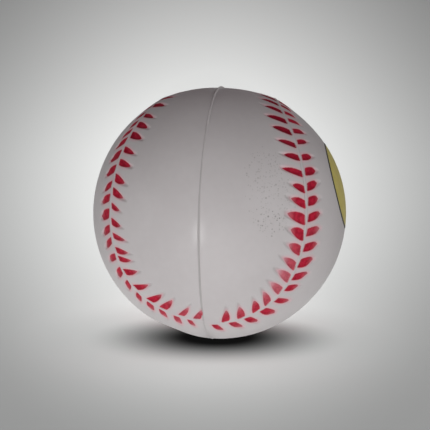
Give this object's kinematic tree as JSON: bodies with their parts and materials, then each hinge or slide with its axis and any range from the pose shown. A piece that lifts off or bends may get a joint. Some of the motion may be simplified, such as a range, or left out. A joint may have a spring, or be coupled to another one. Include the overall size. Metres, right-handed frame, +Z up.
{
  "type": "foam baseball",
  "caption": "Soft moulded foam baseball with a raised seam rib, recessed red stitches along it, a parting-line bead and a small flat to rest on.",
  "frame": {"origin": "centre of the small flat that the ball rests on, straight under the ball's centre", "axes": "+Z up from the rest flat, +X square to the mould's parting plane towards the half with the round print, -Y towards the front of the ball"},
  "size_m": [0.0634, 0.0638, 0.063],
  "materials": {
    "foam_core": "open cellular foam",
    "foam_skin": "matte moulded skin",
    "foam_flash": "matte trimmed bead",
    "print_yellow": "printed ink",
    "print_dark": "printed ink",
    "stitch_red": "sprayed paint"
  },
  "bodies": {
    "root": {"foam_core": "foam_core", "skin_left": "foam_skin", "skin_right": "foam_skin", "parting_flash": "foam_flash", "print_disc": "print_yellow", "print_outline": "print_dark"}
  },
  "joints": []
}
